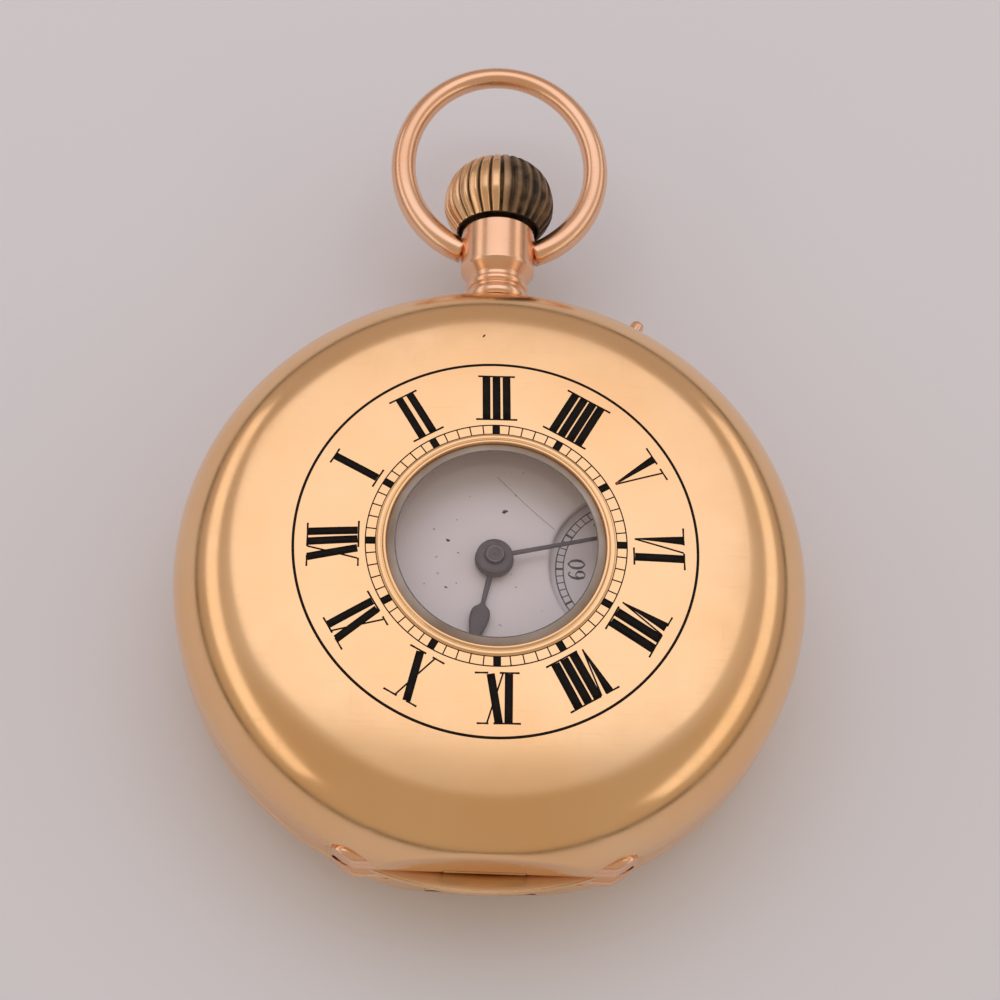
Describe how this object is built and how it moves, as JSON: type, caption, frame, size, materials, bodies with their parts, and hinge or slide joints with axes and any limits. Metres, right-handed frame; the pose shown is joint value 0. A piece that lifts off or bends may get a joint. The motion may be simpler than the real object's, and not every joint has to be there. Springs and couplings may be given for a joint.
{
  "type": "half hunter pocket watch",
  "caption": "Half hunter pocket watch with a hinged window cover, white enamel dial, ribbed crown, bow and a working keyless lever movement",
  "frame": {"origin": "centre of the flat rest area on the back cover", "axes": "+Z out of the front cover, +Y to the pendant at three o'clock, +X to six o'clock"},
  "size_m": [0.034, 0.0508, 0.0121],
  "materials": {
    "gold": "polished, lightly worn",
    "rose_gold": "polished, worn",
    "glass": "clear polished",
    "enamel": "glossy",
    "blued_steel": "blued",
    "gilt_brass": "frosted gilt",
    "wheel_brass": "satin",
    "steel": "polished",
    "ruby": "polished"
  },
  "bodies": {
    "case": {"case_middle": "gold", "glass_bezel": "gold", "pendant": "rose_gold", "front_hinge_pin": "rose_gold", "back_hinge_pin": "rose_gold", "crystal": "glass", "dial": "enamel", "seconds_dial": "enamel", "hairspring": "blued_steel", "bridge_screws": "blued_steel", "case_screws": "blued_steel", "crown_wheel_screw": "blued_steel", "shoulder_screws": "blued_steel", "mainplate": "gilt_brass", "barrel_bridge": "gilt_brass", "train_bridge": "gilt_brass", "balance_cock": "gilt_brass", "pallet_cock": "gilt_brass", "lift_spring": "steel", "stem_sleeve": "steel", "click_spring": "steel", "hairspring_stud": "steel", "jewels": "ruby"},
    "front_cover": {"front_cover": "gold", "window_ring": "gold", "window_glass": "glass"},
    "back_cover": {"back_cover": "gold"},
    "inner_cover": {"inner_cover": "gold"},
    "bow": {"bow": "rose_gold"},
    "winding_pinion": {"winding_pinion": "steel"},
    "crown": {"crown": "rose_gold", "winding_stem": "steel"},
    "clutch": {"clutch": "steel"},
    "lock_spring": {"lock_spring": "steel"},
    "crown_wheel": {"crown_wheel": "steel"},
    "ratchet": {"ratchet_wheel": "steel", "barrel_arbor": "steel", "ratchet_screw": "blued_steel"},
    "click": {"click": "steel"},
    "fourth": {"fourth_wheel": "wheel_brass", "seconds_hand": "blued_steel"},
    "third": {"third_wheel": "wheel_brass"},
    "centre": {"centre_wheel": "wheel_brass"},
    "barrel": {"barrel": "wheel_brass", "barrel_cover": "wheel_brass", "mainspring": "steel"},
    "escape": {"escape_wheel": "wheel_brass"},
    "minute": {"minute_hand": "blued_steel", "cannon_pinion": "steel"},
    "minute_wheel": {"minute_wheel": "steel"},
    "hour": {"hour_hand": "blued_steel", "hour_wheel": "wheel_brass"},
    "setting_wheel": {"setting_wheel": "steel"},
    "pallet_fork": {"pallet_fork": "steel"},
    "balance": {"balance_wheel": "wheel_brass", "balance_staff": "steel", "hairspring_collet": "wheel_brass"},
    "regulator": {"regulator": "steel"},
    "push_pin": {"push_pin": "gold"},
    "yoke": {"yoke": "steel"}
  },
  "joints": [
    {"name": "front_cover_hinge", "type": "hinge", "parent": "case", "child": "front_cover", "pos_m": [0, -0.01559, 0.00685], "axis": [1, 0, 0], "range_deg": [0, 90]},
    {"name": "back_cover_hinge", "type": "hinge", "parent": "case", "child": "back_cover", "pos_m": [0, -0.01559, 0.00515], "axis": [-1, 0, 0], "range_deg": [0, 90]},
    {"name": "inner_cover_hinge", "type": "hinge", "parent": "case", "child": "inner_cover", "pos_m": [0, -0.01559, 0.00515], "axis": [-1, 0, 0], "range_deg": [0, 76.6]},
    {"name": "bow_pivot", "type": "hinge", "parent": "case", "child": "bow", "pos_m": [0, 0.02104, 0.006], "axis": [1, 0, 0], "range_deg": [-120, 120]},
    {"name": "winding", "type": "hinge", "parent": "case", "child": "winding_pinion", "pos_m": [0, 0.01108, 0.006], "axis": [0, 1, 0], "continuous": true},
    {"name": "crown_press", "type": "slide", "parent": "winding_pinion", "child": "crown", "axis": [0, -1, 0], "range_m": [0, 0.0003], "stiffness_N_per_m": 2000},
    {"name": "clutch_slide", "type": "slide", "parent": "winding_pinion", "child": "clutch", "axis": [0, -1, 0], "range_m": [0, 0.0006]},
    {"name": "lock_spring_flex", "type": "hinge", "parent": "case", "child": "lock_spring", "pos_m": [-0.01471, 0.00394, 0.00708], "axis": [0, 0, -1], "range_deg": [0, 1.2]},
    {"name": "crown_wheel_turn", "type": "hinge", "parent": "case", "child": "crown_wheel", "pos_m": [0, 0.0081, 0.004], "axis": [0, 0, 1], "continuous": true},
    {"name": "ratchet_turn", "type": "hinge", "parent": "case", "child": "ratchet", "pos_m": [-0.00601, 0.00219, 0.004], "axis": [0, 0, 1], "continuous": true},
    {"name": "click_swing", "type": "hinge", "parent": "case", "child": "click", "pos_m": [-0.00818, -0.00377, 0.004], "axis": [0, 0, -1], "range_deg": [0, 8]},
    {"name": "fourth_turn", "type": "hinge", "parent": "case", "child": "fourth", "pos_m": [0.00735, 0, 0.006], "axis": [0, 0, 1], "continuous": true},
    {"name": "third_turn", "type": "hinge", "parent": "case", "child": "third", "pos_m": [0.00458, 0.00458, 0.0056], "axis": [0, 0, 1], "continuous": true},
    {"name": "centre_turn", "type": "hinge", "parent": "case", "child": "centre", "pos_m": [0, 0, 0.0052], "axis": [0, 0, 1], "continuous": true},
    {"name": "barrel_turn", "type": "hinge", "parent": "case", "child": "barrel", "pos_m": [-0.00601, 0.00219, 0.0056], "axis": [0, 0, 1], "continuous": true},
    {"name": "escape_turn", "type": "hinge", "parent": "case", "child": "escape", "pos_m": [0.00788, -0.00429, 0.0066], "axis": [0, 0, 1], "continuous": true},
    {"name": "minute_hand_turn", "type": "hinge", "parent": "case", "child": "minute", "pos_m": [0, 0, 0.01015], "axis": [0, 0, 1], "continuous": true},
    {"name": "minute_wheel_turn", "type": "hinge", "parent": "case", "child": "minute_wheel", "pos_m": [0.0007, 0.00312, 0.00781], "axis": [0, 0, 1], "continuous": true},
    {"name": "hour_hand_turn", "type": "hinge", "parent": "case", "child": "hour", "pos_m": [0, 0, 0.00975], "axis": [0, 0, 1], "continuous": true},
    {"name": "setting_wheel_turn", "type": "hinge", "parent": "case", "child": "setting_wheel", "pos_m": [0, 0.0069, 0.00695], "axis": [0, 0, 1], "continuous": true},
    {"name": "lever_swing", "type": "hinge", "parent": "case", "child": "pallet_fork", "pos_m": [0.00608, -0.00596, 0.0066], "axis": [0, 0, 1], "range_deg": [-5, 5]},
    {"name": "balance_swing", "type": "hinge", "parent": "case", "child": "balance", "pos_m": [0.00327, -0.00858, 0.00555], "axis": [0, 0, 1], "range_deg": [-220, 220]},
    {"name": "regulator_turn", "type": "hinge", "parent": "case", "child": "regulator", "pos_m": [0.00327, -0.00858, 0.00348], "axis": [0, 0, 1], "range_deg": [-20, 20]},
    {"name": "push_pin_press", "type": "slide", "parent": "case", "child": "push_pin", "axis": [-0.4415, -0.8973, 0], "range_m": [0, 0.0003741], "stiffness_N_per_m": 1500},
    {"name": "yoke_swing", "type": "hinge", "parent": "case", "child": "yoke", "pos_m": [0.0105, 0.00651, 0.00695], "axis": [0, 0, 1], "range_deg": [0, 3.4]}
  ],
  "couplings": [
    {"joint": "inner_cover_hinge", "follows": "back_cover_hinge", "ratio": 0.85},
    {"joint": "lock_spring_flex", "follows": "crown_press", "rad_per_m": 69.743},
    {"joint": "crown_wheel_turn", "follows": "winding", "ratio": 0.4375},
    {"joint": "ratchet_turn", "follows": "winding", "ratio": -0.26923},
    {"joint": "third_turn", "follows": "fourth_turn", "ratio": -0.13333},
    {"joint": "centre_turn", "follows": "fourth_turn", "ratio": 0.016667},
    {"joint": "barrel_turn", "follows": "fourth_turn", "ratio": -0.002381},
    {"joint": "escape_turn", "follows": "fourth_turn", "ratio": -8},
    {"joint": "minute_wheel_turn", "follows": "minute_hand_turn", "ratio": -0.33333},
    {"joint": "hour_hand_turn", "follows": "minute_hand_turn", "ratio": 0.083333},
    {"joint": "setting_wheel_turn", "follows": "minute_hand_turn", "ratio": 0.55556},
    {"joint": "clutch_slide", "follows": "push_pin_press", "ratio": 1.6022},
    {"joint": "yoke_swing", "follows": "push_pin_press", "rad_per_m": 152.8}
  ]
}
